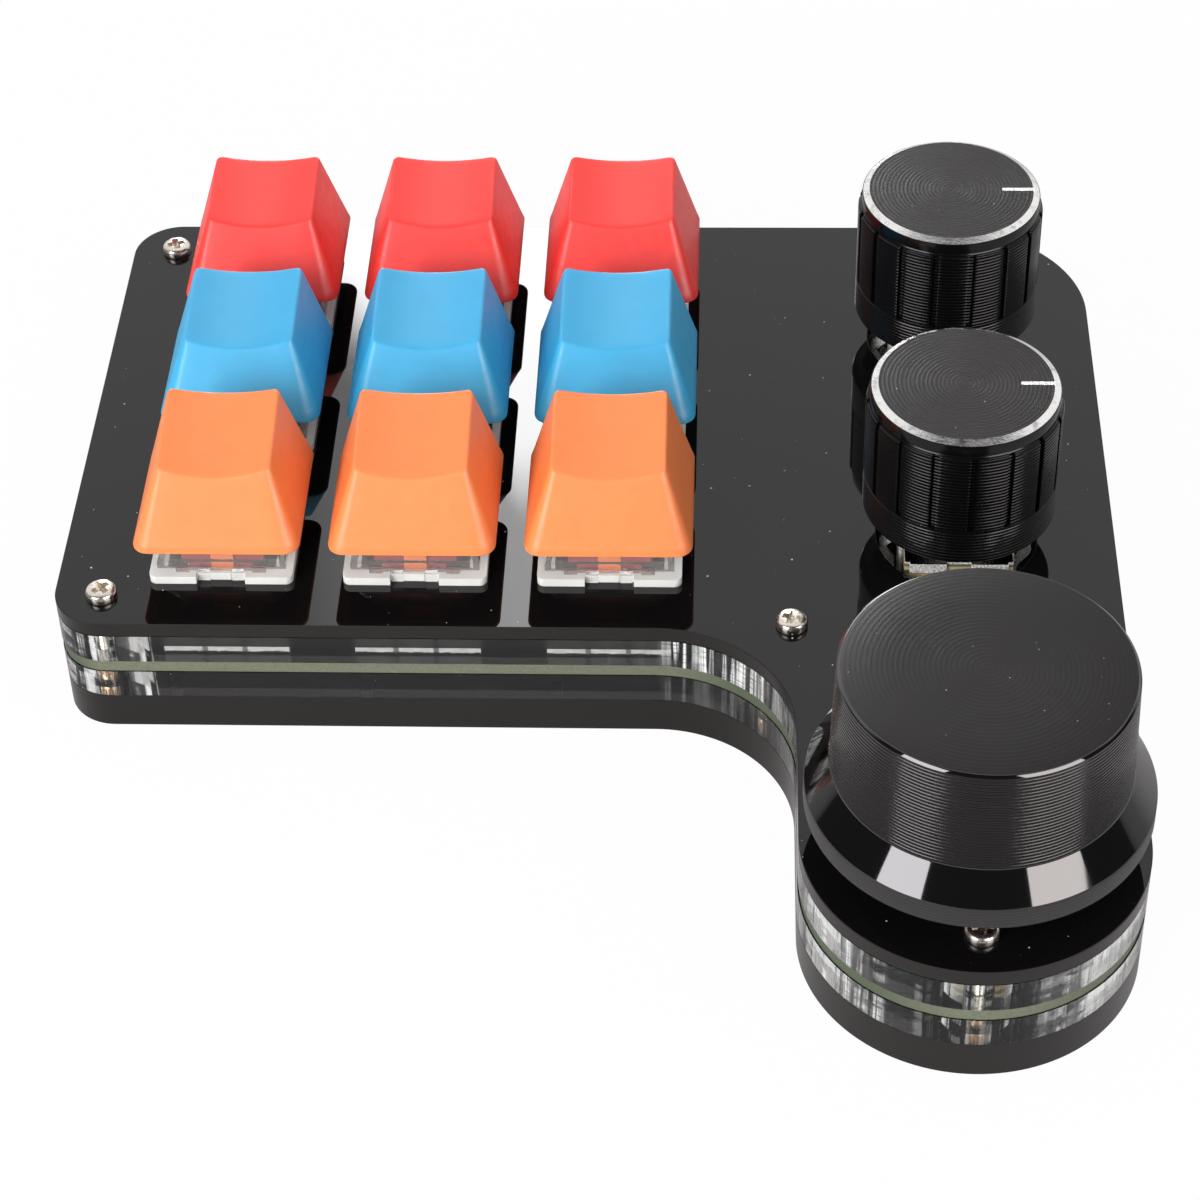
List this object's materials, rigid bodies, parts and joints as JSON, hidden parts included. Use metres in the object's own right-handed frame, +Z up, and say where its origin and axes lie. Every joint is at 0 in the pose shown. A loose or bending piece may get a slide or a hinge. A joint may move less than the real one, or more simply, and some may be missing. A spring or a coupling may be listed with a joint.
{
  "type": "macro keypad with knobs",
  "caption": "L-shaped macro keypad in a stacked-sheet case, with rows of sprung keys, small fluted push knobs and a large flared push knob, all of which turn.",
  "frame": {"origin": "centre of the case's plan, on the underside of the bottom plate", "axes": "+Z up, +Y towards the rear row of keys and the USB socket, +X towards the knobs"},
  "size_m": [0.1148, 0.119, 0.0386],
  "materials": {
    "black_acrylic": "polished",
    "clear_acrylic": "polished",
    "circuit_board": "glass-fibre laminate",
    "screw_steel": "satin",
    "insert_brass": "knurled",
    "white_nylon": "moulded",
    "clear_cover": "moulded clear",
    "contact_copper": "bright",
    "stem_orange": "moulded",
    "cap_red": "fine texture",
    "cap_blue": "fine texture",
    "cap_orange": "fine texture",
    "spring_steel": "wire",
    "encoder_phenolic": "moulded",
    "encoder_steel": "plated sheet",
    "terminal_metal": "plated",
    "rotor_nylon": "moulded",
    "shaft_metal": "turned",
    "knob_black": "black anodised, bright cut edges",
    "core_plastic": "moulded",
    "grub_steel": "blackened",
    "socket_steel": "plated sheet",
    "tongue_plastic": "moulded",
    "chip_black": "moulded",
    "crystal_metal": "plated can",
    "diode_body": "moulded",
    "capacitor_body": "ceramic"
  },
  "bodies": {
    "base": {"bottom_plate": "black_acrylic", "lower_spacer": "clear_acrylic", "circuit_board": "circuit_board", "upper_spacer": "clear_acrylic", "top_plate": "black_acrylic", "case_screws": "screw_steel", "screw_inserts": "insert_brass", "switch_bases": "white_nylon", "switch_covers": "clear_cover", "switch_contacts": "contact_copper", "spring_rear_left": "spring_steel", "spring_rear_centre": "spring_steel", "spring_rear_right": "spring_steel", "spring_middle_left": "spring_steel", "spring_middle_centre": "spring_steel", "spring_middle_right": "spring_steel", "spring_front_left": "spring_steel", "spring_front_centre": "spring_steel", "spring_front_right": "spring_steel", "encoder_bases": "encoder_phenolic", "encoder_covers": "encoder_steel", "encoder_bushings": "shaft_metal", "encoder_terminals": "terminal_metal", "encoder_domes": "spring_steel", "usb_socket": "socket_steel", "usb_tongue": "tongue_plastic", "controller_chip": "chip_black", "crystal": "crystal_metal", "key_diodes": "diode_body", "board_capacitors": "capacitor_body"},
    "key_rear_left": {"stem_rear_left": "stem_orange", "keycap_rear_left": "cap_red"},
    "key_rear_centre": {"stem_rear_centre": "stem_orange", "keycap_rear_centre": "cap_red"},
    "key_rear_right": {"stem_rear_right": "stem_orange", "keycap_rear_right": "cap_red"},
    "key_middle_left": {"stem_middle_left": "stem_orange", "keycap_middle_left": "cap_blue"},
    "key_middle_centre": {"stem_middle_centre": "stem_orange", "keycap_middle_centre": "cap_blue"},
    "key_middle_right": {"stem_middle_right": "stem_orange", "keycap_middle_right": "cap_blue"},
    "key_front_left": {"stem_front_left": "stem_orange", "keycap_front_left": "cap_orange"},
    "key_front_centre": {"stem_front_centre": "stem_orange", "keycap_front_centre": "cap_orange"},
    "key_front_right": {"stem_front_right": "stem_orange", "keycap_front_right": "cap_orange"},
    "rear_turning": {"rear_rotor": "rotor_nylon"},
    "rear_pressing": {"rear_shaft": "shaft_metal", "rear_knob": "knob_black", "rear_knob_core": "core_plastic"},
    "middle_turning": {"middle_rotor": "rotor_nylon"},
    "middle_pressing": {"middle_shaft": "shaft_metal", "middle_knob": "knob_black", "middle_knob_core": "core_plastic"},
    "large_turning": {"large_rotor": "rotor_nylon"},
    "large_pressing": {"large_shaft": "shaft_metal", "large_knob": "knob_black", "large_knob_screw": "grub_steel"}
  },
  "joints": [
    {"name": "press_key_rear_left", "type": "slide", "parent": "base", "child": "key_rear_left", "axis": [0, 0, -1], "range_m": [0, 0.004], "stiffness_N_per_m": 70, "springref_m": -0.005, "deforming": ["spring_rear_left"]},
    {"name": "press_key_rear_centre", "type": "slide", "parent": "base", "child": "key_rear_centre", "axis": [0, 0, -1], "range_m": [0, 0.004], "stiffness_N_per_m": 70, "springref_m": -0.005, "deforming": ["spring_rear_centre"]},
    {"name": "press_key_rear_right", "type": "slide", "parent": "base", "child": "key_rear_right", "axis": [0, 0, -1], "range_m": [0, 0.004], "stiffness_N_per_m": 70, "springref_m": -0.005, "deforming": ["spring_rear_right"]},
    {"name": "press_key_middle_left", "type": "slide", "parent": "base", "child": "key_middle_left", "axis": [0, 0, -1], "range_m": [0, 0.004], "stiffness_N_per_m": 70, "springref_m": -0.005, "deforming": ["spring_middle_left"]},
    {"name": "press_key_middle_centre", "type": "slide", "parent": "base", "child": "key_middle_centre", "axis": [0, 0, -1], "range_m": [0, 0.004], "stiffness_N_per_m": 70, "springref_m": -0.005, "deforming": ["spring_middle_centre"]},
    {"name": "press_key_middle_right", "type": "slide", "parent": "base", "child": "key_middle_right", "axis": [0, 0, -1], "range_m": [0, 0.004], "stiffness_N_per_m": 70, "springref_m": -0.005, "deforming": ["spring_middle_right"]},
    {"name": "press_key_front_left", "type": "slide", "parent": "base", "child": "key_front_left", "axis": [0, 0, -1], "range_m": [0, 0.004], "stiffness_N_per_m": 70, "springref_m": -0.005, "deforming": ["spring_front_left"]},
    {"name": "press_key_front_centre", "type": "slide", "parent": "base", "child": "key_front_centre", "axis": [0, 0, -1], "range_m": [0, 0.004], "stiffness_N_per_m": 70, "springref_m": -0.005, "deforming": ["spring_front_centre"]},
    {"name": "press_key_front_right", "type": "slide", "parent": "base", "child": "key_front_right", "axis": [0, 0, -1], "range_m": [0, 0.004], "stiffness_N_per_m": 70, "springref_m": -0.005, "deforming": ["spring_front_right"]},
    {"name": "turn_rear_knob", "type": "hinge", "parent": "base", "child": "rear_turning", "pos_m": [0.04025, 0.03795, 0.0126], "axis": [0, 0, 1], "continuous": true},
    {"name": "press_rear_knob", "type": "slide", "parent": "rear_turning", "child": "rear_pressing", "axis": [0, 0, -1], "range_m": [0, 0.0005], "stiffness_N_per_m": 4000, "springref_m": -0.0002},
    {"name": "turn_middle_knob", "type": "hinge", "parent": "base", "child": "middle_turning", "pos_m": [0.04025, 0.00325, 0.0126], "axis": [0, 0, 1], "continuous": true},
    {"name": "press_middle_knob", "type": "slide", "parent": "middle_turning", "child": "middle_pressing", "axis": [0, 0, -1], "range_m": [0, 0.0005], "stiffness_N_per_m": 4000, "springref_m": -0.0002},
    {"name": "turn_large_knob", "type": "hinge", "parent": "base", "child": "large_turning", "pos_m": [0.04, -0.04215, 0.0126], "axis": [0, 0, 1], "continuous": true},
    {"name": "press_large_knob", "type": "slide", "parent": "large_turning", "child": "large_pressing", "axis": [0, 0, -1], "range_m": [0, 0.0005], "stiffness_N_per_m": 4000, "springref_m": -0.0002}
  ]
}
